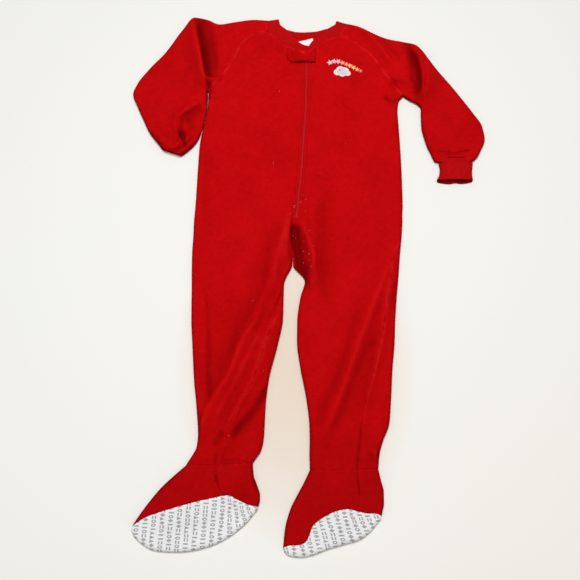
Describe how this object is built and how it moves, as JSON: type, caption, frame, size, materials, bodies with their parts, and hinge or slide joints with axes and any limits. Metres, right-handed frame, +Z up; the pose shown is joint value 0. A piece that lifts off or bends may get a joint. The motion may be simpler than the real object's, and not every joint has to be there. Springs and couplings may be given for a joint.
{
  "type": "onesie pajama",
  "caption": "Child's footed onesie pajama in red fleece, laid flat: zip front with a guard tab, raglan sleeves, ribbed cuffs and white printed soles",
  "frame": {"origin": "middle of the bounding box, on the surface that the garment lies on", "axes": "+X towards the wearer's left sleeve, +Y towards the neck, +Z up out of the surface"},
  "size_m": [0.555, 0.8348, 0.0157],
  "materials": {
    "fleece_red": "napped fleece, soft sheen",
    "rib_red": "fine rib knit",
    "zip_red": "woven tape with a nylon coil",
    "zip_metal": "red enamel",
    "sole_fabric": "woven, printed in grey",
    "label_white": "plain satin label"
  },
  "bodies": {
    "root": {"front_right": "fleece_red", "front_left": "fleece_red", "back_right": "fleece_red", "back_left": "fleece_red", "sleeve_right": "fleece_red", "sleeve_left": "fleece_red", "cuff_right": "rib_red", "cuff_left": "rib_red", "neck_band": "rib_red", "zip_tape": "zip_red", "zip_slider": "zip_metal", "zip_pull": "zip_metal", "zip_guard": "fleece_red", "neck_label": "label_white", "vamp_right": "fleece_red", "vamp_left": "fleece_red", "heel_right": "fleece_red", "heel_left": "fleece_red", "sole_right": "sole_fabric", "sole_left": "sole_fabric"}
  },
  "joints": []
}
